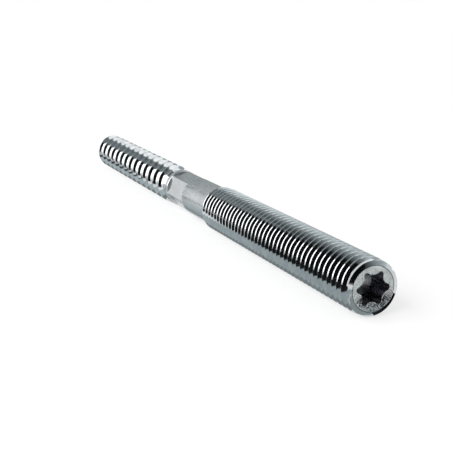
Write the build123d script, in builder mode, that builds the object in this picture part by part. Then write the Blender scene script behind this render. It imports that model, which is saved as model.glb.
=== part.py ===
from build123d import *
from math import cos, pi, radians, sin, tan
import os

# Hanger bolt M8 x 120: a machine thread with a six-lobe recess in its end, a plain shank with
# six wrench flats, and a coarse wood thread with a gimlet point. It is rolled from one wire.
#
# The bolt lies along X, with the machine end at +X and the point at -X. Z is up, and the axis
# runs one machine-thread radius above the origin, so that the bolt lies on the plane Z = 0.
# All sizes are in millimetres.

# ------------------------------------------------------------------ driving dimensions
overall_length = 120.0

# machine thread M8, as its plain envelope on the major diameter
machine_diameter = 8.0
machine_length = 50.0
end_chamfer = 0.75
machine_runout = 0.6

# round shank between the two threads
shank_diameter = 7.0
shank_length = 9.8

# wrench flats pressed into the shank, and the round collar left behind them
flats_count = 6
flats_across = 6.0
flats_length = 8.0
flats_turn = 10.7
collar_length = 1.0

# six-lobe recess, size 27, with the conical floor that its punch leaves
lobe_count = 6
recess_across = 5.07
recess_across_roots = 3.68
recess_tip_radius = 0.39
recess_depth = 3.4
recess_turn = 59.0
recess_floor_angle = 120.0

# wood thread
wood_crest_diameter = 7.5
wood_root_diameter = 5.6
wood_pitch = 3.2
wood_crest_width = 0.3
wood_flank_angle = 32.0
shoulder_length = 0.8
ridge_start_gap = 0.8
fade_in_turns = 0.75

# gimlet point
point_length = 5.5
point_tip_diameter = 0.3
point_plain_length = 1.6
faded_height = 0.2

# the fading ends of the ridge are lofted through this many sections a turn,
# and the ridge is rooted this deep in its core
sections_per_turn = 8
ridge_root_depth = 0.25

# the seam of the turned surface lies this many degrees round from level
seam_turn = 4.3

# ------------------------------------------------------------------ derived sizes
machine_radius = machine_diameter / 2
shank_radius = shank_diameter / 2
root_radius = wood_root_diameter / 2
tip_radius = point_tip_diameter / 2
ridge_height = (wood_crest_diameter - wood_root_diameter) / 2
half_ridge_base = wood_crest_width / 2 + ridge_height * tan(radians(wood_flank_angle))

# stations along the axis, from the machine end to the tip
end_x = overall_length / 2
machine_start_x = end_x - machine_length
shank_top_x = machine_start_x - machine_runout
flats_start_x = shank_top_x - shank_length
flats_end_x = flats_start_x - flats_length
collar_end_x = flats_end_x - collar_length
root_start_x = collar_end_x - shoulder_length
ridge_start_x = root_start_x - ridge_start_gap
full_ridge_x = ridge_start_x - fade_in_turns * wood_pitch
tip_x = -overall_length / 2
point_start_x = tip_x + point_length
sinking_ridge_x = point_start_x + half_ridge_base
ridge_end_x = tip_x + point_plain_length

full_turns = (full_ridge_x - sinking_ridge_x) / wood_pitch
point_turns = (sinking_ridge_x - ridge_end_x) / wood_pitch


# ------------------------------------------------------------------ helpers
def cross_plane(x):
    """Plane across the bolt at x, facing the machine end, with its y axis up."""
    return Plane(origin=(x, 0, machine_radius), x_dir=(0, 1, 0), z_dir=(1, 0, 0))


def core_radius(x):
    """Radius of the wood thread's core at x, which tapers over the point."""
    taper = (x - tip_x) / point_length
    return min(root_radius, tip_radius + (root_radius - tip_radius) * taper)


def ridge_section(x, turns, height):
    """The ridge's section at x, turned so many turns about the axis from straight down."""
    angle = 2 * pi * turns
    half_crest = wood_crest_width / 2
    half_base = half_crest + height * tan(radians(wood_flank_angle))
    along_bolt = Plane(
        origin=(x, 0, machine_radius), x_dir=(1, 0, 0), z_dir=(0, cos(angle), -sin(angle))
    )
    with BuildSketch(along_bolt) as section:
        with BuildLine():
            Polyline(
                (-half_base, core_radius(x - half_base) - ridge_root_depth),
                (half_base, core_radius(x + half_base) - ridge_root_depth),
                (half_crest, core_radius(x) + height),
                (-half_crest, core_radius(x) + height),
                close=True,
            )
        make_face()
    return section.sketch


def fading_sections(start_x, start_turns, turns, height_at):
    """Sections along a stretch of ridge whose height changes as it winds."""
    steps = max(2, round(turns * sections_per_turn))
    wound = [turns * step / steps for step in range(steps + 1)]
    return [
        ridge_section(start_x - wood_pitch * turn, start_turns + turn, height_at(turn / turns))
        for turn in wound
    ]


def height_in(progress):
    """Height of the ridge where it rises from the core behind the collar."""
    return faded_height + (ridge_height - faded_height) * sin(pi / 2 * progress)


def height_out(progress):
    """Height of the ridge where it sinks towards the tip of the point."""
    return faded_height + (ridge_height - faded_height) * cos(pi / 2 * progress)


# ------------------------------------------------------------------ ridge of the wood thread
with BuildPart() as ridge_start:
    loft(fading_sections(ridge_start_x, -fade_in_turns, fade_in_turns, height_in))

with BuildPart() as ridge_body:
    with BuildLine():
        helix = Helix(
            wood_pitch,
            wood_pitch * full_turns,
            root_radius,
            center=(full_ridge_x, 0, machine_radius),
            direction=(-1, 0, 0),
        )
    sweep(ridge_section(full_ridge_x, 0, ridge_height), path=helix, is_frenet=True)

with BuildPart() as ridge_point:
    loft(fading_sections(sinking_ridge_x, full_turns, point_turns, height_out))

# ------------------------------------------------------------------ the bolt
with BuildPart() as hanger_bolt:
    # wire turned and rolled to its plain form, as half a section
    seam_angle = radians(seam_turn)
    half_plane = Plane(
        origin=(0, 0, machine_radius), x_dir=(1, 0, 0), z_dir=(0, -sin(seam_angle), cos(seam_angle))
    )
    with BuildSketch(half_plane):
        with BuildLine():
            Polyline(
                (end_x, 0),
                (end_x, machine_radius - end_chamfer),
                (end_x - end_chamfer, machine_radius),
                (machine_start_x, machine_radius),
                (shank_top_x, shank_radius),
                (collar_end_x, shank_radius),
                (root_start_x, root_radius),
                (point_start_x, root_radius),
                (tip_x, tip_radius),
                (tip_x, 0),
                close=True,
            )
        make_face()
    revolve(axis=Axis((0, 0, machine_radius), (1, 0, 0)))

    # the wood thread's ridge, stretch by stretch
    add(ridge_body.part)
    add(ridge_start.part)
    add(ridge_point.part)

    # wrench flats: what stands outside the hexagon goes, out to twice the shank's radius
    with BuildSketch(cross_plane(flats_end_x)):
        Circle(shank_diameter)
        RegularPolygon(
            flats_across / 2,
            flats_count,
            major_radius=False,
            rotation=flats_turn,
            mode=Mode.SUBTRACT,
        )
    extrude(amount=flats_length, mode=Mode.SUBTRACT)

    # six-lobe recess: small arcs round the tips, tangent to large arcs between them
    tip_distance = recess_across / 2 - recess_tip_radius
    recess_root_radius = recess_across_roots / 2
    lobe_step = 360 / lobe_count
    reach = tip_distance * cos(radians(lobe_step / 2))
    valley_radius = (
        tip_distance**2 + recess_root_radius**2 - recess_tip_radius**2
        - 2 * reach * recess_root_radius
    ) / (2 * (reach + recess_tip_radius - recess_root_radius))
    tip_centre = Vector(tip_distance, 0)
    valley_centre = Vector(recess_root_radius + valley_radius, 0).rotate(Axis.Z, lobe_step / 2)
    tangent = tip_centre + (valley_centre - tip_centre).normalized() * recess_tip_radius
    with BuildSketch(cross_plane(end_x)) as recess:
        with BuildLine():
            for lobe in range(lobe_count):
                turn = recess_turn + lobe_step * lobe
                lobe_start = Vector(tangent.X, -tangent.Y).rotate(Axis.Z, turn)
                lobe_end = tangent.rotate(Axis.Z, turn)
                next_start = lobe_start.rotate(Axis.Z, lobe_step)
                lobe_tip = Vector(recess_across / 2, 0).rotate(Axis.Z, turn)
                valley = Vector(recess_root_radius, 0).rotate(Axis.Z, turn + lobe_step / 2)
                ThreePointArc(lobe_start, lobe_tip, lobe_end)
                ThreePointArc(lobe_end, valley, next_start)
        make_face()
    extrude(amount=-recess_depth, mode=Mode.SUBTRACT)
    with BuildSketch(half_plane):
        with BuildLine():
            floor_x = end_x - recess_depth
            floor_height = recess_root_radius / tan(radians(recess_floor_angle / 2))
            Polyline(
                (floor_x, 0),
                (floor_x, recess_root_radius),
                (floor_x - floor_height, 0),
                close=True,
            )
        make_face()
    revolve(axis=Axis((0, 0, machine_radius), (1, 0, 0)), mode=Mode.SUBTRACT)

hanger_bolt.part.label = "hanger_bolt"

os.makedirs("parts", exist_ok=True)
export_step(hanger_bolt.part, "parts/hanger_bolt.step")
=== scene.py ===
"""Looks of a zinc-plated hanger bolt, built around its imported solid.

The bolt lies along X with its machine end at +X. Each stretch of it is a class that shapes
its own part of one closed skin: the machine thread, the end face with its six-lobe recess, the
shank with its wrench flats, and the wood thread with its gimlet point. Skins are shaped in
millimetres about the X axis, then scaled to metres and raised to the height of the bolt's axis.
"""

import logging
import math
from dataclasses import dataclass, field
from enum import Enum
from typing import Iterable

import bmesh
import bpy
from bmesh.types import BMEdge, BMesh, BMFace, BMVert
from mathutils import Matrix, Vector, noise


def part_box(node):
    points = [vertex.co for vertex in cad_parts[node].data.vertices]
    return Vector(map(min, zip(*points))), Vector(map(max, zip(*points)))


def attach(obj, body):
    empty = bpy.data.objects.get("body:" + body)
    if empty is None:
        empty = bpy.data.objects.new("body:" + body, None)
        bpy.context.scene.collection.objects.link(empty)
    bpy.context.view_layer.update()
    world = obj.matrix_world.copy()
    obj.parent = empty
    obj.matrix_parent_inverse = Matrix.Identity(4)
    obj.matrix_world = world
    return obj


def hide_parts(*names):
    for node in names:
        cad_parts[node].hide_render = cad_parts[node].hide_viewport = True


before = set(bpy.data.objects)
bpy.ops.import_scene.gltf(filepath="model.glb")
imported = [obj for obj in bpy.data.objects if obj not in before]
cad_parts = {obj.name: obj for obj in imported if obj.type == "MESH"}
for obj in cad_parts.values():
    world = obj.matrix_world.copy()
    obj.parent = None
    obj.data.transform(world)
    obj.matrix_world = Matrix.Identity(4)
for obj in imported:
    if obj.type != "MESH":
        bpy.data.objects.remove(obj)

LOG = logging.getLogger("hanger_bolt")
MM = 0.001
NODE = "hanger_bolt"
BODY = "root"
ALONG = Vector((1.0, 0.0, 0.0))
FULL_TURN = 2.0 * math.pi
# vertices nearer than this, in millimetres, are one
MERGE_DISTANCE = 0.002


class Zone(Enum):
    """A stretch of the skin that has a finish of its own."""

    THREADS = 0
    SHANK = 1
    END_FACE = 2
    # the recess and the end groove; their finish is darker as painted shade
    RECESS = 3


class Keep(Enum):
    """What stays of a skin that is cut at a cross plane."""

    BOTH = 0
    BELOW = 1
    ABOVE = 2


# ------------------------------------------------------------------------------ skin helpers
def smooth_step(value: float, low: float, high: float) -> float:
    """Goes smoothly from 0 at low to 1 at high.

    Args:
        value: The number to place between low and high.
        low: Where the step begins.
        high: Where the step ends. It may be under low, which turns the step round.

    Returns:
        The height of the step at value.
    """
    share = min(1.0, max(0.0, (value - low) / (high - low)))
    return share * share * (3.0 - 2.0 * share)


def radius_of(vert: BMVert) -> float:
    """Distance of a vertex from the bolt's axis."""
    return math.hypot(vert.co.y, vert.co.z)


def set_radius(vert: BMVert, radius: float) -> None:
    """Moves a vertex straight in or out from the bolt's axis."""
    share = radius / radius_of(vert)
    vert.co.y *= share
    vert.co.z *= share


def on_circle(x: float, radius: float, angle: float) -> Vector:
    """Point at that radius about the bolt's axis, its angle counted from +Y towards +Z."""
    return Vector((x, radius * math.cos(angle), radius * math.sin(angle)))


def rim_at(skin: BMesh, x: float) -> list[BMEdge]:
    """Open edges of the skin that lie in the cross plane at x."""
    return [
        edge
        for edge in skin.edges
        if edge.is_boundary and all(abs(vert.co.x - x) < MERGE_DISTANCE for vert in edge.verts)
    ]


def verts_of(edges: Iterable[BMEdge]) -> list[BMVert]:
    """Vertices of the edges, each one once."""
    return list({vert: None for edge in edges for vert in edge.verts})


def carry_rim(
    skin: BMesh, rim: list[BMEdge], x: float, radius: float | None = None
) -> list[BMEdge]:
    """Draws an open rim on to another cross plane.

    Args:
        skin: The mesh being shaped.
        rim: The open edges to extrude.
        x: Where the new rim lies.
        radius: The new rim's radius, or None to keep each vertex's own.

    Returns:
        The edges of the new rim.
    """
    drawn = bmesh.ops.extrude_edge_only(skin, edges=rim)["geom"]
    edges = [item for item in drawn if isinstance(item, BMEdge) and item.is_boundary]
    for vert in verts_of(edges):
        vert.co.x = x
        if radius is not None:
            set_radius(vert, radius)
    return edges


def close_rim(skin: BMesh, rim: list[BMEdge], x: float) -> None:
    """Closes an open rim with faces that meet in a pole on the axis at x."""
    drawn = bmesh.ops.extrude_edge_only(skin, edges=rim)["geom"]
    pole = [item for item in drawn if isinstance(item, BMVert)]
    bmesh.ops.pointmerge(skin, verts=pole, merge_co=(x, 0.0, 0.0))


def cut(skin: BMesh, x: float, keep: Keep) -> None:
    """Cuts the skin's faces at the cross plane at x and keeps what lies on the wanted side."""
    bmesh.ops.bisect_plane(
        skin,
        geom=skin.verts[:] + skin.edges[:] + skin.faces[:],
        dist=MERGE_DISTANCE / 4,
        plane_co=(x, 0.0, 0.0),
        plane_no=ALONG,
        clear_outer=keep is Keep.BELOW,
        clear_inner=keep is Keep.ABOVE,
    )


def paint_new_faces(skin: BMesh, before: set[BMFace], zone: Zone) -> None:
    """Puts every face that wasn't there before in a zone."""
    for face in set(skin.faces) - before:
        face.material_index = zone.value


def object_from(skin: BMesh, name: str) -> bpy.types.Object:
    """Turns a mesh under work in to an object of the scene, and frees it."""
    mesh = bpy.data.meshes.new(name)
    skin.to_mesh(mesh)
    skin.free()
    return in_scene(name, mesh)


def in_scene(name: str, data: bpy.types.ID) -> bpy.types.Object:
    """Makes an object of a mesh, lamp or camera and puts it in the scene."""
    made = bpy.data.objects.new(name, data)
    bpy.context.scene.collection.objects.link(made)
    return made


# ------------------------------------------------------------------------------ frame
@dataclass(frozen=True)
class Lie:
    """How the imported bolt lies: its two ends and the height of its axis, in millimetres."""

    end_x: float
    tip_x: float
    axis_height: float

    @classmethod
    def of_node(cls, node: str) -> "Lie":
        """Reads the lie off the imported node's box."""
        low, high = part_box(node)
        return cls(high.x / MM, low.x / MM, (low.z + high.z) / 2 / MM)


# ------------------------------------------------------------------------------ threads
@dataclass
class ThreadForm:
    """Section of a screw thread and the helical skin that it sweeps.

    Lengths are in millimetres. The skin is a right-hand one about X.
    """

    pitch: float
    crest_radius: float
    root_radius: float
    crest_width: float
    flank_angle: float
    crest_rounding: float
    root_rounding: float
    crest_segments: int = 4
    root_segments: int = 2
    phase: float = 0.0
    columns: int = 96
    turned: float = 0.0
    corner_angle: float = math.radians(20.0)

    @property
    def depth(self) -> float:
        """Height of the crest over the root."""
        return self.crest_radius - self.root_radius

    def profile(self, crest_x: float) -> list[Vector]:
        """Corners of one turn's section, from root to crest and back to the root."""
        half_crest = self.crest_width / 2
        half_base = half_crest + self.depth * math.tan(math.radians(self.flank_angle))
        corners = (
            (crest_x - half_base, self.root_radius),
            (crest_x - half_crest, self.crest_radius),
            (crest_x + half_crest, self.crest_radius),
            (crest_x + half_base, self.root_radius),
        )
        return [on_circle(x, radius, self.turned) for x, radius in corners]

    def sweep(self, near_x: float, far_x: float) -> BMesh:
        """Sweeps the section about the axis and trims the skin to a stretch of the bolt.

        Args:
            near_x: The stretch's end towards the machine end.
            far_x: The stretch's end towards the point.

        Returns:
            A new mesh of the thread's skin, open at both ends.
        """
        skin = bmesh.new()
        first = math.floor((far_x - self.phase) / self.pitch) - 2
        last = math.ceil((near_x - self.phase) / self.pitch) + 1
        corners = [
            skin.verts.new(point)
            for turn in range(first, last + 1)
            for point in self.profile(self.phase + turn * self.pitch)
        ]
        chain = [skin.edges.new(pair) for pair in zip(corners, corners[1:])]
        bmesh.ops.spin(
            skin,
            geom=corners + chain,
            cent=(0.0, 0.0, 0.0),
            axis=ALONG,
            dvec=ALONG * (self.pitch / self.columns),
            angle=FULL_TURN,
            steps=self.columns,
            use_merge=False,
        )
        bmesh.ops.remove_doubles(skin, verts=skin.verts[:], dist=MERGE_DISTANCE)
        self._round_corners(skin)
        cut(skin, near_x, Keep.BELOW)
        cut(skin, far_x, Keep.ABOVE)
        return skin

    def _round_corners(self, skin: BMesh) -> None:
        """Rounds the helical edges of the crest and the root."""
        middle = (self.crest_radius + self.root_radius) / 2
        corners = [
            edge
            for edge in skin.edges
            if len(edge.link_faces) == 2 and abs(edge.calc_face_angle(0.0)) > self.corner_angle
        ]
        crests = [edge for edge in corners if radius_of(edge.verts[0]) > middle]
        roots = [edge for edge in corners if radius_of(edge.verts[0]) < middle]
        for edges, offset, segments in (
            (roots, self.root_rounding, self.root_segments),
            (crests, self.crest_rounding, self.crest_segments),
        ):
            bmesh.ops.bevel(
                skin,
                geom=edges,
                offset=offset,
                offset_type="OFFSET",
                affect="EDGES",
                segments=segments,
                profile=0.5,
                material=-1,
                clamp_overlap=False,
            )


@dataclass
class MachineThread:
    """The metric thread, from the chamfered end to where it runs out in the shank."""

    lie: Lie
    length: float = 50.4
    chamfer: float = 0.75
    chamfer_length: float = 0.25
    end_radius: float = 3.86
    end_fade: float = 1.1
    end_plain: float = 0.1
    runout: float = 1.3
    shank_radius: float = 3.5
    form: ThreadForm = field(
        default_factory=lambda: ThreadForm(
            pitch=1.25,
            crest_radius=4.0,
            root_radius=3.32,
            crest_width=0.22,
            flank_angle=30.0,
            crest_rounding=0.1,
            root_rounding=0.04,
            crest_segments=3,
            phase=0.34,
        )
    )

    @property
    def near_x(self) -> float:
        """Cross plane of the end face."""
        return self.lie.end_x

    @property
    def far_x(self) -> float:
        """Cross plane where the thread has run out."""
        return self.lie.end_x - self.length

    @property
    def face_radius(self) -> float:
        """Radius of the flat end face, inside the chamfer."""
        return self.form.crest_radius - self.chamfer

    def build(self) -> BMesh:
        """Shapes the thread's skin, chamfered at one end and run out at the other."""
        skin = self.form.sweep(self.near_x, self.far_x)
        chamfer_x = self.near_x - self.chamfer_length
        cut(skin, chamfer_x, Keep.BOTH)
        slope = self.chamfer / self.chamfer_length
        plain_x = chamfer_x - self.end_plain
        for vert in skin.verts:
            x = vert.co.x
            radius = radius_of(vert)
            fading = smooth_step(x, self.far_x, self.far_x + self.runout)
            radius = self.shank_radius + (radius - self.shank_radius) * fading
            ending = smooth_step(x, plain_x - self.end_fade, plain_x)
            radius += (self.end_radius - radius) * ending
            radius = min(radius, self.face_radius + (self.near_x - x) * slope)
            set_radius(vert, max(radius, self.face_radius))
        return skin


@dataclass
class WoodThread:
    """The coarse thread with its gimlet point, from the shoulder to the tip."""

    lie: Lie
    near_x: float = -10.25
    fade_in: float = 1.8
    start_gap: float = 0.6
    point_length: float = 5.5
    tip_radius: float = 0.15
    plain_tip: float = 1.4
    crest_drop: float = 5.2
    form: ThreadForm = field(
        default_factory=lambda: ThreadForm(
            pitch=3.2,
            crest_radius=3.75,
            root_radius=2.8,
            crest_width=0.22,
            flank_angle=28.0,
            crest_rounding=0.07,
            root_rounding=0.48,
            root_segments=6,
            phase=1.6,
        )
    )

    def core_radius(self, x: float) -> float:
        """Radius of the core at x, which tapers over the point."""
        share = min(1.0, (x - self.lie.tip_x) / self.point_length)
        return self.tip_radius + (self.form.root_radius - self.tip_radius) * share

    def crest_radius(self, x: float) -> float:
        """Radius that the ridge's crest reaches at x, where nothing but the point lowers it."""
        end = self.lie.tip_x + self.plain_tip
        share = min(1.0, max(0.0, (x - end) / (self.crest_drop - self.plain_tip)))
        core = self.core_radius(x)
        return core + (self.form.crest_radius - core) * math.sin(share * math.pi / 2)

    def build(self) -> BMesh:
        """Shapes the thread's skin, closed at the tip."""
        skin = self.form.sweep(self.near_x, self.lie.tip_x)
        start = self.near_x - self.start_gap
        for vert in skin.verts:
            x = vert.co.x
            share = (radius_of(vert) - self.form.root_radius) / self.form.depth
            rising = smooth_step(x, start, start - self.fade_in)
            core = self.core_radius(x)
            set_radius(vert, core + (self.crest_radius(x) - core) * share * rising)
        close_rim(skin, rim_at(skin, self.lie.tip_x), self.lie.tip_x)
        return skin


# ------------------------------------------------------------------------------ shank
@dataclass
class Shank:
    """The plain stretch between the threads, with six wrench flats and a collar."""

    lie: Lie
    radius: float = 3.5
    flats_start_x: float = -0.4
    flats_end_x: float = -8.4
    collar_end_x: float = -9.4
    root_x: float = -10.2
    root_radius: float = 2.8
    flats_across: float = 6.0
    flats_count: int = 6
    flats_turn: float = math.radians(10.7)
    flats_gap: float = 0.02
    middle_x: float = 3.6
    near_rounding: float = 0.16
    near_bevel: float = 0.048
    far_rounding: float = 0.096

    def draw(self, skin: BMesh, rim: list[BMEdge]) -> None:
        """Draws the shank on from the open rim of the machine thread.

        Args:
            skin: The mesh being shaped.
            rim: The open rim at the shank's start.
        """
        near_rings = (
            (self.middle_x, None),
            (self.flats_start_x + self.near_rounding, None),
            (self.flats_start_x + self.near_bevel, self.radius - self.near_bevel),
            (self.flats_start_x, self.radius - self.near_rounding),
        )
        for x, radius in near_rings:
            rim = carry_rim(skin, rim, x, radius)
        for x in (self.flats_start_x - self.flats_gap, self.flats_end_x + self.flats_gap):
            rim = carry_rim(skin, rim, x, self.radius)
            self._press(rim)
        far_rings = (
            (self.flats_end_x, self.radius - self.far_rounding),
            (self.flats_end_x - self.far_rounding, self.radius),
            (self.collar_end_x, self.radius),
            (self.root_x, self.root_radius),
        )
        for x, radius in far_rings:
            rim = carry_rim(skin, rim, x, radius)

    def _press(self, rim: list[BMEdge]) -> None:
        """Presses a ring in to the wrench flats."""
        sector = FULL_TURN / self.flats_count
        for vert in verts_of(rim):
            angle = math.atan2(vert.co.z, vert.co.y) - self.flats_turn - sector / 2
            from_middle = (angle + sector / 2) % sector - sector / 2
            reach = self.flats_across / 2 / math.cos(from_middle)
            if radius_of(vert) > reach:
                set_radius(vert, reach)


# ------------------------------------------------------------------------------ recess
@dataclass
class DriveRecess:
    """The six-lobe recess punched into the end face."""

    lie: Lie
    lobes: int = 6
    across: float = 5.07
    across_roots: float = 3.68
    tip_radius: float = 0.39
    depth: float = 3.4
    turn: float = math.radians(59.0)
    floor_angle: float = math.radians(120.0)
    mouth_rounding: float = 0.08
    arc_steps: int = 6
    groove_width: float = 0.1
    groove_depth: float = 0.06
    face_rings: int = 6
    tear_depth: float = 0.45
    tear_reach: float = 3.1
    tear_edge: float = 0.35
    tear_middle: float = math.radians(-95.0)
    tear_half: float = math.radians(38.0)
    tear_half_faded: float = math.radians(62.0)
    tears_per_mm: float = 4.0

    def outline(self, skin: BMesh) -> list[BMEdge]:
        """Draws the recess's outline in the end plane, arc after arc.

        Args:
            skin: The mesh that the outline is added to.

        Returns:
            The edges of the closed outline.
        """
        x = self.lie.end_x
        half_step = math.pi / self.lobes
        tip_distance = self.across / 2 - self.tip_radius
        root = self.across_roots / 2
        reach = tip_distance * math.cos(half_step)
        valley = (
            tip_distance**2 + root**2 - self.tip_radius**2 - 2 * reach * root
        ) / (2 * (reach + self.tip_radius - root))
        tip_centre = on_circle(x, tip_distance, 0.0)
        valley_centre = on_circle(x, root + valley, half_step)
        towards = (valley_centre - tip_centre).normalized()
        lobe_half = math.atan2(towards.z, towards.y)
        valley_half = lobe_half - half_step
        vert = skin.verts.new(tip_centre + Vector((0.0, towards.y, -towards.z)) * self.tip_radius)
        start = vert
        for lobe in range(self.lobes):
            turn = Matrix.Rotation(2 * half_step * lobe, 4, ALONG)
            for centre, angle in (
                (turn @ tip_centre, 2 * lobe_half),
                (turn @ valley_centre, -2 * valley_half),
            ):
                drawn = bmesh.ops.spin(
                    skin,
                    geom=[vert],
                    cent=centre,
                    axis=ALONG,
                    angle=angle,
                    steps=self.arc_steps,
                    use_merge=False,
                )
                vert = next(item for item in drawn["geom_last"] if isinstance(item, BMVert))
        loop = self._linked_verts(start)
        bmesh.ops.rotate(
            skin, verts=loop, cent=(x, 0.0, 0.0), matrix=Matrix.Rotation(self.turn, 3, ALONG)
        )
        bmesh.ops.remove_doubles(skin, verts=loop, dist=MERGE_DISTANCE)
        return [edge for edge in skin.edges if edge.is_wire]

    @staticmethod
    def _linked_verts(start: BMVert) -> list[BMVert]:
        """Vertices that wire edges join to the start, the start among them."""
        found = {start: None}
        queue = [start]
        while queue:
            for edge in queue.pop().link_edges:
                for vert in edge.verts:
                    if vert not in found:
                        found[vert] = None
                        queue.append(vert)
        return list(found)

    def _groove(self, skin: BMesh, rim: list[BMEdge]) -> list[BMEdge]:
        """Cuts the fine groove that parts the end face from the chamfer, in the recess's darker
        finish, which paints the groove's shade as a dark line.

        Args:
            skin: The mesh being shaped.
            rim: The open rim round the end face.

        Returns:
            The open rim inside the groove.
        """
        radius = radius_of(rim[0].verts[0])
        bottom_x = self.lie.end_x - self.groove_depth
        before = set(skin.faces)
        bottom = carry_rim(skin, rim, bottom_x, radius - self.groove_width / 2)
        inside = carry_rim(skin, bottom, self.lie.end_x, radius - self.groove_width)
        # the groove's faces take the recess finish: a painted shade line
        paint_new_faces(skin, before, Zone.RECESS)
        return inside

    def _tear(self, skin: BMesh) -> None:
        """Roughens the lower lip of the mouth, where the punch has torn the metal."""
        face_verts = {
            vert: None
            for face in skin.faces
            if face.material_index == Zone.END_FACE.value
            for vert in face.verts
        }
        for vert in face_verts:
            off_middle = abs(math.atan2(vert.co.z, vert.co.y) - self.tear_middle)
            below = smooth_step(off_middle, self.tear_half_faded, self.tear_half)
            inside = self.tear_reach - self.tear_edge
            near = smooth_step(radius_of(vert), self.tear_reach, inside)
            chip = 0.5 + 0.5 * noise.noise(vert.co * self.tears_per_mm)
            vert.co.x -= self.tear_depth * below * near * chip

    def punch(self, skin: BMesh, rim: list[BMEdge]) -> None:
        """Closes the machine end with the end face and the recess in it.

        Args:
            skin: The mesh being shaped.
            rim: The open rim round the end face.
        """
        outline = self.outline(skin)
        rim = self._groove(skin, rim)
        face = bmesh.ops.bridge_loops(skin, edges=rim + outline)
        for item in face["faces"]:
            item.material_index = Zone.END_FACE.value
        mouth = [edge for edge in outline if edge.is_valid]
        ties = [edge for edge in face["edges"] if edge not in set(mouth) and edge not in set(rim)]
        bmesh.ops.subdivide_edges(skin, edges=ties, cuts=self.face_rings, use_grid_fill=True)
        self._tear(skin)
        floor_x = self.lie.end_x - self.depth
        floor_radius = self.across_roots / 2
        before = set(skin.faces)
        wall = carry_rim(skin, mouth, floor_x)
        floor = carry_rim(skin, wall, floor_x, floor_radius)
        close_rim(skin, floor, floor_x - floor_radius / math.tan(self.floor_angle / 2))
        paint_new_faces(skin, before, Zone.RECESS)
        bmesh.ops.bevel(
            skin,
            geom=mouth,
            offset=self.mouth_rounding,
            offset_type="OFFSET",
            affect="EDGES",
            segments=2,
            profile=0.5,
            material=-1,
        )


# ------------------------------------------------------------------------------ materials
class Value:
    """A socket of a node tree that takes part in expressions."""

    def __init__(self, tree: bpy.types.NodeTree, socket: bpy.types.NodeSocket) -> None:
        """Keeps the socket and the tree that new nodes go into."""
        self.tree = tree
        self.socket = socket

    def _math(self, operation: str, first: "Value | float", second: "Value | float") -> "Value":
        """Adds a Math node."""
        return add_node(
            self.tree, "ShaderNodeMath", {"operation": operation}, {0: first, 1: second}
        )

    def __add__(self, other: "Value | float") -> "Value":
        """Sum."""
        return self._math("ADD", self, other)

    __radd__ = __add__

    def __sub__(self, other: "Value | float") -> "Value":
        """Difference."""
        return self._math("SUBTRACT", self, other)

    def __rsub__(self, other: float) -> "Value":
        """Difference from a number."""
        return self._math("SUBTRACT", other, self)

    def __mul__(self, other: "Value | float") -> "Value":
        """Product."""
        return self._math("MULTIPLY", self, other)

    __rmul__ = __mul__

    def __truediv__(self, other: "Value | float") -> "Value":
        """Quotient."""
        return self._math("DIVIDE", self, other)

    def least(self, other: "Value | float") -> "Value":
        """The smaller of the two."""
        return self._math("MINIMUM", self, other)

    def most(self, other: "Value | float") -> "Value":
        """The larger of the two."""
        return self._math("MAXIMUM", self, other)

    def step(self, low: float, high: float) -> "Value":
        """Goes smoothly from 0 at low to 1 at high."""
        return add_node(
            self.tree,
            "ShaderNodeMapRange",
            {"interpolation_type": "SMOOTHSTEP"},
            {"Value": self, "From Min": low, "From Max": high},
        )


def add_node(
    tree: bpy.types.NodeTree,
    kind: str,
    settings: dict[str, object] | None = None,
    inputs: dict[object, object] | None = None,
    output: int | str = 0,
) -> Value:
    """Adds a node, sets it up and gives its output.

    Args:
        tree: The node tree that it goes into.
        kind: The node's type.
        settings: Properties of the node, set first.
        inputs: Numbers, colours, sockets or Values for its sockets, by name or index.
        output: The output socket to give, by name or index.

    Returns:
        The output as a Value.
    """
    node = tree.nodes.new(kind)
    for name, setting in (settings or {}).items():
        setattr(node, name, setting)
    for key, given in (inputs or {}).items():
        socket = node.inputs[key]
        if isinstance(given, Value):
            tree.links.new(given.socket, socket)
        elif isinstance(given, bpy.types.NodeSocket):
            tree.links.new(given, socket)
        else:
            socket.default_value = given
    return Value(tree, node.outputs[output])


def mix_colours(tree: bpy.types.NodeTree, share: Value, first: object, second: object) -> Value:
    """Mixes two colours by a share."""
    return add_node(
        tree, "ShaderNodeMix", {"data_type": "RGBA"}, {0: share, 6: first, 7: second}, output=2
    )


def add_noise(
    tree: bpy.types.NodeTree, place: Value, scale: float, detail: float, roughness: float
) -> Value:
    """Adds a noise pattern.

    Args:
        tree: The node tree that it goes into.
        place: The coordinates that it is laid on.
        scale: Its waves for each unit of those coordinates.
        detail: How many finer layers it has.
        roughness: How strong each finer layer is.

    Returns:
        The pattern, from 0 to 1.
    """
    given = {"Vector": place, "Scale": scale, "Detail": detail, "Roughness": roughness}
    return add_node(tree, "ShaderNodeTexNoise", None, given)


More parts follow.
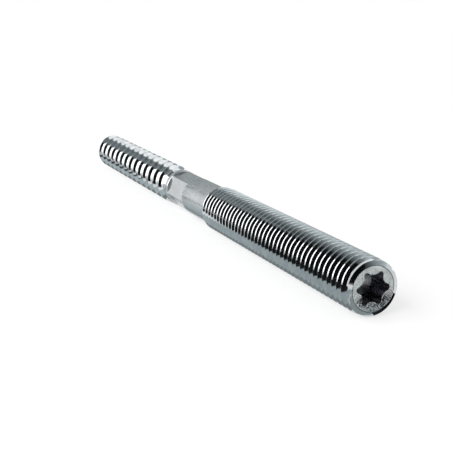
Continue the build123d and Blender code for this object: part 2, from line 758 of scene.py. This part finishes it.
@dataclass(frozen=True)
class ZincFinish:
    """Bright zinc plating: a bluish grey metal with fine grain, cloudiness and scuffs."""

    name: str
    light: tuple[float, float, float, float]
    dark: tuple[float, float, float, float]
    smooth: float
    rough: float
    grain_along: float
    grain_around: float
    grain_height: float
    pit_height: float
    specks: float = 0.0
    soot: tuple[float, float, float, float] = (0.06, 0.065, 0.07, 1.0)

    def material(self) -> bpy.types.Material:
        """Makes the material."""
        made = bpy.data.materials.new(self.name)
        made.use_nodes = True
        tree = made.node_tree
        shader = tree.nodes["Principled BSDF"]
        shader.inputs["Metallic"].default_value = 1.0
        place = add_node(tree, "ShaderNodeTexCoord", output="Object")
        millimetres = add_node(
            tree, "ShaderNodeMapping", None, {"Vector": place, "Scale": (1 / MM,) * 3}
        )
        along, around = self.grain_along, self.grain_around
        drawn = add_node(
            tree,
            "ShaderNodeMapping",
            None,
            {"Vector": millimetres, "Scale": (along, around, around)},
        )
        cloud = add_noise(tree, millimetres, scale=0.55, detail=4.0, roughness=0.6)
        grain = add_noise(tree, drawn, scale=1.0, detail=3.0, roughness=0.65)
        pits = add_noise(tree, millimetres, scale=2.6, detail=5.0, roughness=0.7)
        tone = (cloud * 0.7 + grain * 0.3).step(0.35, 0.65)
        colour = mix_colours(tree, tone, self.dark, self.light)
        if self.specks:
            colour = mix_colours(tree, pits.step(0.56, 0.68) * self.specks, colour, self.soot)
        tree.links.new(colour.socket, shader.inputs["Base Color"])
        scuffs = (grain * 0.5 + pits * 0.5).step(0.35, 0.7)
        rough = self.smooth + (self.rough - self.smooth) * scuffs
        tree.links.new(rough.socket, shader.inputs["Roughness"])
        height = grain * self.grain_height + pits * self.pit_height
        relief = {"Strength": 1.0, "Distance": MM, "Height": height}
        bump = add_node(tree, "ShaderNodeBump", None, relief)
        tree.links.new(bump.socket, shader.inputs["Normal"])
        return made


THREAD_ZINC = ZincFinish(
    "thread_zinc",
    light=(0.66, 0.68, 0.69, 1.0),
    dark=(0.52, 0.55, 0.57, 1.0),
    smooth=0.05,
    rough=0.14,
    grain_along=9.0,
    grain_around=3.0,
    grain_height=0.002,
    pit_height=0.004,
)
SHANK_ZINC = ZincFinish(
    "shank_zinc",
    light=(0.62, 0.64, 0.65, 1.0),
    dark=(0.54, 0.56, 0.57, 1.0),
    smooth=0.26,
    rough=0.4,
    grain_along=0.6,
    grain_around=9.0,
    grain_height=0.006,
    pit_height=0.004,
)
# End face: base colour held darker than the thread's, a painted dim reflection standing in for the
# darker surroundings it mirrors; its specks and grain are its own.
FACE_ZINC_PAINTED_REFLECTION = ZincFinish(
    "end_face_zinc_painted_reflection",
    light=(0.56, 0.59, 0.59, 1.0),
    dark=(0.36, 0.385, 0.385, 1.0),
    smooth=0.2,
    rough=0.36,
    grain_along=4.0,
    grain_around=4.0,
    grain_height=0.012,
    pit_height=0.03,
    specks=0.75,
)
# Painted shade: a darker base colour than the thread's, standing in for the shadow inside the
# recess and the end groove.
RECESS_PAINTED_SHADE = ZincFinish(
    "recess_painted_shade",
    light=(0.4, 0.39, 0.42, 1.0),
    dark=(0.24, 0.24, 0.27, 1.0),
    smooth=0.2,
    rough=0.4,
    grain_along=1.5,
    grain_around=6.0,
    grain_height=0.02,
    pit_height=0.02,
)
FINISHES = {
    Zone.THREADS: THREAD_ZINC,
    Zone.SHANK: SHANK_ZINC,
    Zone.END_FACE: FACE_ZINC_PAINTED_REFLECTION,
    Zone.RECESS: RECESS_PAINTED_SHADE,
}


# ------------------------------------------------------------------------------ the bolt
@dataclass
class HangerBolt:
    """The whole bolt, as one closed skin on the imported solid's place."""

    lie: Lie
    sharp_angle: float = math.radians(24.0)

    def build(self) -> bpy.types.Object:
        """Shapes the skin, dresses it and hands it to the frame.

        Returns:
            The bolt's object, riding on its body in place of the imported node.
        """
        shank = Shank(self.lie)
        machine = MachineThread(self.lie)
        wood = WoodThread(self.lie)
        recess = DriveRecess(self.lie)
        machine.form.turned = wood.form.turned = shank.flats_turn

        skin = bmesh.new()
        self._add(skin, machine.build())
        LOG.info("machine thread shaped: %d faces", len(skin.faces))
        before = set(skin.faces)
        shank.draw(skin, rim_at(skin, machine.far_x))
        paint_new_faces(skin, before, Zone.SHANK)
        LOG.info("shank drawn: %d faces", len(skin.faces))
        recess.punch(skin, rim_at(skin, machine.near_x))
        LOG.info("recess punched: %d faces", len(skin.faces))
        self._add(skin, wood.build())
        LOG.info("wood thread shaped: %d faces", len(skin.faces))
        rims = rim_at(skin, shank.root_x) + rim_at(skin, wood.near_x)
        bmesh.ops.bridge_loops(skin, edges=rims)
        bmesh.ops.remove_doubles(skin, verts=skin.verts[:], dist=MERGE_DISTANCE)
        bmesh.ops.recalc_face_normals(skin, faces=skin.faces[:])
        return self._finish(skin)

    @staticmethod
    def _add(skin: BMesh, part: BMesh) -> None:
        """Adds one mesh to another and frees it."""
        mesh = bpy.data.meshes.new("stretch")
        part.to_mesh(mesh)
        part.free()
        skin.from_mesh(mesh)
        bpy.data.meshes.remove(mesh)

    def _finish(self, skin: BMesh) -> bpy.types.Object:
        """Makes the object, in metres and in its place."""
        bmesh.ops.scale(skin, vec=(MM, MM, MM), verts=skin.verts[:])
        bmesh.ops.translate(
            skin, vec=(0.0, 0.0, self.lie.axis_height * MM), verts=skin.verts[:]
        )
        for face in skin.faces:
            face.smooth = True
        for edge in skin.edges:
            edge.smooth = edge.calc_face_angle(0.0) < self.sharp_angle
        open_edges = sum(1 for edge in skin.edges if not edge.is_manifold)
        triangles = sum(len(face.verts) - 2 for face in skin.faces)
        LOG.info("bolt skin: %d triangles, %d open edges", triangles, open_edges)
        bolt = object_from(skin, "hanger_bolt_skin")
        for zone in Zone:
            bolt.data.materials.append(FINISHES[zone].material())
        shading = bolt.modifiers.new("flat_faces_shade_flat", "WEIGHTED_NORMAL")
        shading.weight = 100
        shading.keep_sharp = True
        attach(bolt, BODY)
        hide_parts(NODE)
        return bolt


# ------------------------------------------------------------------------------ studio
class Paper(Enum):
    """Tints of the cards, as factors on red, green and blue."""

    WHITE = (1.0, 1.0, 1.0)
    SLATE = (0.9, 1.02, 1.05)


def direction(azimuth: float, elevation: float) -> Vector:
    """Unit vector at degrees counted from +X towards +Y, and up from the floor."""
    turn, lift = math.radians(azimuth), math.radians(elevation)
    flat = math.cos(lift)
    return Vector((flat * math.cos(turn), flat * math.sin(turn), math.sin(lift)))


def make_card(
    name: str, width: float, height: float, levels: tuple[float, float], paper: Paper
) -> bpy.types.Object:
    """Makes a card that only reflections see, facing up about the origin.

    Args:
        name: What the card is called.
        width: Its size along X, in metres.
        height: Its size along Y, in metres.
        levels: How brightly it glows at its left edge and at its right one.
        paper: The tint of its glow.

    Returns:
        The card, staged.
    """
    sheet = bmesh.new()
    bmesh.ops.create_grid(sheet, x_segments=1, y_segments=1, size=0.5)
    bmesh.ops.scale(sheet, vec=(width, height, 1.0), verts=sheet.verts[:])
    card = object_from(sheet, name)
    made = bpy.data.materials.new(name)
    made.use_nodes = True
    tree = made.node_tree
    tree.nodes.clear()
    place = add_node(tree, "ShaderNodeTexCoord", output="Object")
    across = add_node(tree, "ShaderNodeSeparateXYZ", None, {0: place}) / width + 0.5
    left, right = ((*(level * share for share in paper.value), 1.0) for level in levels)
    colour = mix_colours(tree, across.step(0.0, 1.0), left, right)
    glow = add_node(tree, "ShaderNodeEmission", None, {"Color": colour})
    out = tree.nodes.new("ShaderNodeOutputMaterial")
    tree.links.new(glow.socket, out.inputs["Surface"])
    card.data.materials.append(made)
    card.visible_camera = False
    card.visible_diffuse = False
    card.visible_shadow = False
    card.visible_transmission = False
    return card


@dataclass(frozen=True)
class HungCard:
    """A card or a softbox that hangs off in one direction from the bolt and faces it."""

    name: str
    azimuth: float
    elevation: float
    width: float
    height: float
    level: float
    right_level: float | None = None
    distance: float = 0.9
    back_gap: float = 0.01
    paper: Paper = Paper.SLATE

    def place(self, hung: bpy.types.Object, about: Vector, behind: float = 0.0) -> None:
        """Hangs a card or lamp in its place, or a little behind it."""
        away = direction(self.azimuth, self.elevation)
        hung.location = about + away * (self.distance + behind)
        hung.rotation_euler = away.to_track_quat("Z", "Y").to_euler()

    def build(self, about: Vector) -> None:
        """Makes the card, facing the bolt."""
        levels = (self.level, self.level if self.right_level is None else self.right_level)
        self.place(make_card(self.name, self.width, self.height, levels, self.paper), about)

    def light(self, about: Vector) -> None:
        """Makes a lamp with a black back, as bright as its level to a mirror."""
        back = make_card(f"{self.name}_back", self.width, self.height, (0.0, 0.0), self.paper)
        self.place(back, about, behind=self.back_gap)
        lamp = bpy.data.lights.new(self.name, "AREA")
        lamp.shape = "RECTANGLE"
        lamp.size = self.width
        lamp.size_y = self.height
        lamp.energy = self.level * math.pi * self.width * self.height
        self.place(in_scene(self.name, lamp), about)


@dataclass(frozen=True)
class LaidCard:
    """A card that lies on the floor beside the bolt, between two X and two Y."""

    name: str
    low: tuple[float, float]
    high: tuple[float, float]
    level: float
    right_level: float | None = None
    height: float = 0.0006
    paper: Paper = Paper.SLATE

    def build(self) -> None:
        """Makes the card, level and at its height."""
        width, depth = (high - low for low, high in zip(self.low, self.high))
        levels = (self.level, self.level if self.right_level is None else self.right_level)
        card = make_card(self.name, width, depth, levels, self.paper)
        middle = [(low + high) / 2 for low, high in zip(self.low, self.high)]
        card.location = (middle[0], middle[1], self.height)


def seen_or_mirrored(tree: bpy.types.NodeTree) -> Value:
    """One for rays from the camera, off a glossy face or through glass, and else nought."""
    path = tree.nodes.new("ShaderNodeLightPath")
    seen = Value(tree, path.outputs["Is Camera Ray"]) + Value(tree, path.outputs["Is Glossy Ray"])
    return (seen + Value(tree, path.outputs["Is Transmission Ray"])).least(1.0)


@dataclass
class Studio:
    """The floor, the light and the camera about the bolt."""

    centre: Vector
    world_level: float = 0.62
    floor_colour: tuple[float, float, float, float] = (0.93, 0.93, 0.93, 1.0)
    floor_radius: float = 1.6
    floor_fade: float = 0.1
    floor_white: float = 0.45
    floor_lift: float = 0.6
    softboxes: tuple[HungCard, ...] = (
        HungCard("key_softbox", 112.0, 42.0, width=0.8, height=0.8, level=0.75),
        HungCard("side_softbox", 268.0, 33.0, width=1.5, height=0.84, level=3.0),
    )
    cards: tuple[HungCard, ...] = (
        HungCard("black_card", -18.0, 20.0, width=1.12, height=0.86, level=0.004),
        HungCard("slate_card", 46.0, 33.0, width=1.41, height=0.92, level=0.01, right_level=1.1),
        HungCard("rim_card", 82.0, 8.0, width=0.5, height=0.3, level=1.7, paper=Paper.WHITE),
        HungCard("edge_card", 66.0, 24.0, width=0.5, height=0.28, level=0.5, distance=0.85),
        HungCard("grey_card", 168.0, 14.0, width=1.1, height=0.6, level=0.31),
    )
    # over and under the whole bolt, then beside the wood thread, along the bolt and at its end
    laid_cards: tuple[LaidCard, ...] = (
        LaidCard("ceiling_card", (-0.6, -0.5), (0.95, 0.22), level=0.24, height=0.9),
        LaidCard("back_card", (-0.5, 0.012), (0.03, 0.4), level=0.3),
        LaidCard("dark_floor_card", (0.024, -0.9), (0.9, -0.0105), level=0.01),
        LaidCard(
            "wood_top_card",
            (-0.045, 0.0095),
            (0.02, 0.05),
            level=1.3,
            height=0.04,
            paper=Paper.WHITE,
        ),
        LaidCard("wood_floor_card", (-0.055, -0.03), (-0.017, -0.0095), level=0.08, height=0.0007),
        LaidCard("tip_card", (-0.1, -0.012), (-0.068, 0.0), level=0.03, height=0.0008),
        LaidCard(
            "near_floor_card", (-0.075, -0.0105), (0.075, -0.004), level=0.68, right_level=0.45
        ),
        # painted shadow: a dim sheet where the bolt's contact shadow lies, seen only in
        # reflections, since the floor's lift lightens the real shadow there
        LaidCard("contact_shadow_card", (-0.06, -0.004), (0.06, -0.0025), level=0.3),
        LaidCard("front_card", (0.0601, -0.0039), (0.085, 0.0004), level=0.35, height=0.0001),
        # painted shadow: a near-black sheet under the machine end, standing in for the floor's own
        # shadow there, which the lift lightens; seen only in reflections
        LaidCard("under_end_shadow_card", (0.0595, 0.0004), (0.0625, 0.0025), level=0.02, height=0.0001),
        LaidCard("end_card", (0.05, 0.0025), (0.068, 0.009), level=0.005, height=0.0001),
    )
    camera_azimuth: float = -23.888
    camera_elevation: float = 14.53
    camera_distance: float = 0.17376
    lens: float = 73.27
    sensor: float = 36.0
    nearest_seen: float = 0.005
    aim_right: float = 0.00497
    aim_up: float = -0.0055

    def build(self) -> None:
        """Makes the whole studio."""
        self._floor()
        self._world()
        self._softboxes()
        self._cards()
        self._camera()
        LOG.info(
            "studio built: %d softboxes, %d hung cards, %d laid cards",
            len(self.softboxes),
            len(self.cards),
            len(self.laid_cards),
        )

    def _floor(self) -> None:
        """Lays the pale floor, which fades in to the white surround."""
        sheet = bmesh.new()
        bmesh.ops.create_circle(sheet, cap_ends=True, segments=96, radius=self.floor_radius)
        floor = object_from(sheet, "floor")
        made = bpy.data.materials.new("floor_paper")
        made.use_nodes = True
        tree = made.node_tree
        shader = tree.nodes["Principled BSDF"]
        shader.inputs["Base Color"].default_value = self.floor_colour
        shader.inputs["Roughness"].default_value = 0.9
        shader.inputs["Specular IOR Level"].default_value = 0.0
        place = add_node(tree, "ShaderNodeTexCoord", output="Object")
        reach = add_node(
            tree, "ShaderNodeVectorMath", {"operation": "LENGTH"}, {0: place}, output="Value"
        )
        fade = reach.step(self.floor_fade, self.floor_white)
        lift = (seen_or_mirrored(tree) * self.floor_lift).most(fade)
        glow = add_node(tree, "ShaderNodeEmission", None, {"Color": (1.0, 1.0, 1.0, 1.0)})
        both = add_node(tree, "ShaderNodeMixShader", None, {0: lift, 1: shader.outputs[0], 2: glow})
        tree.links.new(both.socket, tree.nodes["Material Output"].inputs["Surface"])
        floor.data.materials.append(made)

    def _world(self) -> None:
        """Lights the world evenly, with a white surround for the camera and reflections."""
        world = bpy.data.worlds.new("studio")
        bpy.context.scene.world = world
        world.use_nodes = True
        tree = world.node_tree
        tree.nodes.clear()
        strength = self.world_level + seen_or_mirrored(tree) * (1.0 - self.world_level)
        back = tree.nodes.new("ShaderNodeBackground")
        back.inputs["Color"].default_value = (1.0, 1.0, 1.0, 1.0)
        tree.links.new(strength.socket, back.inputs["Strength"])
        out = tree.nodes.new("ShaderNodeOutputWorld")
        tree.links.new(back.outputs[0], out.inputs["Surface"])

    def _softboxes(self) -> None:
        """Hangs the softboxes, which lamps light the bolt from and reflections show."""
        for box in self.softboxes:
            box.light(self.centre)

    def _cards(self) -> None:
        """Stands and lays the reflection cards about the bolt."""
        for card in self.cards:
            card.build(self.centre)
        for card in self.laid_cards:
            card.build()

    def _camera(self) -> None:
        """Sets the camera up."""
        away = direction(self.camera_azimuth, self.camera_elevation)
        facing = away.to_track_quat("Z", "Y")
        right = facing @ Vector((1.0, 0.0, 0.0))
        up = facing @ Vector((0.0, 1.0, 0.0))
        aim = self.centre + right * self.aim_right + up * self.aim_up
        lens = bpy.data.cameras.new("camera")
        lens.lens = self.lens
        lens.sensor_width = self.sensor
        lens.clip_start = self.nearest_seen
        camera = in_scene("camera", lens)
        camera.location = aim + away * self.camera_distance
        camera.rotation_euler = facing.to_euler()
        bpy.context.scene.camera = camera


def main() -> None:
    """Builds the bolt and its studio."""
    logging.basicConfig(level=logging.INFO, format="%(name)s: %(message)s")
    bpy.context.scene.view_settings.view_transform = "Standard"
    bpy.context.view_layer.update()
    lie = Lie.of_node(NODE)
    bolt = HangerBolt(lie).build()
    LOG.info("piece %s rides on %s", bolt.name, BODY)
    low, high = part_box(NODE)
    Studio(centre=(low + high) / 2).build()


if __name__ == "__main__":
    main()
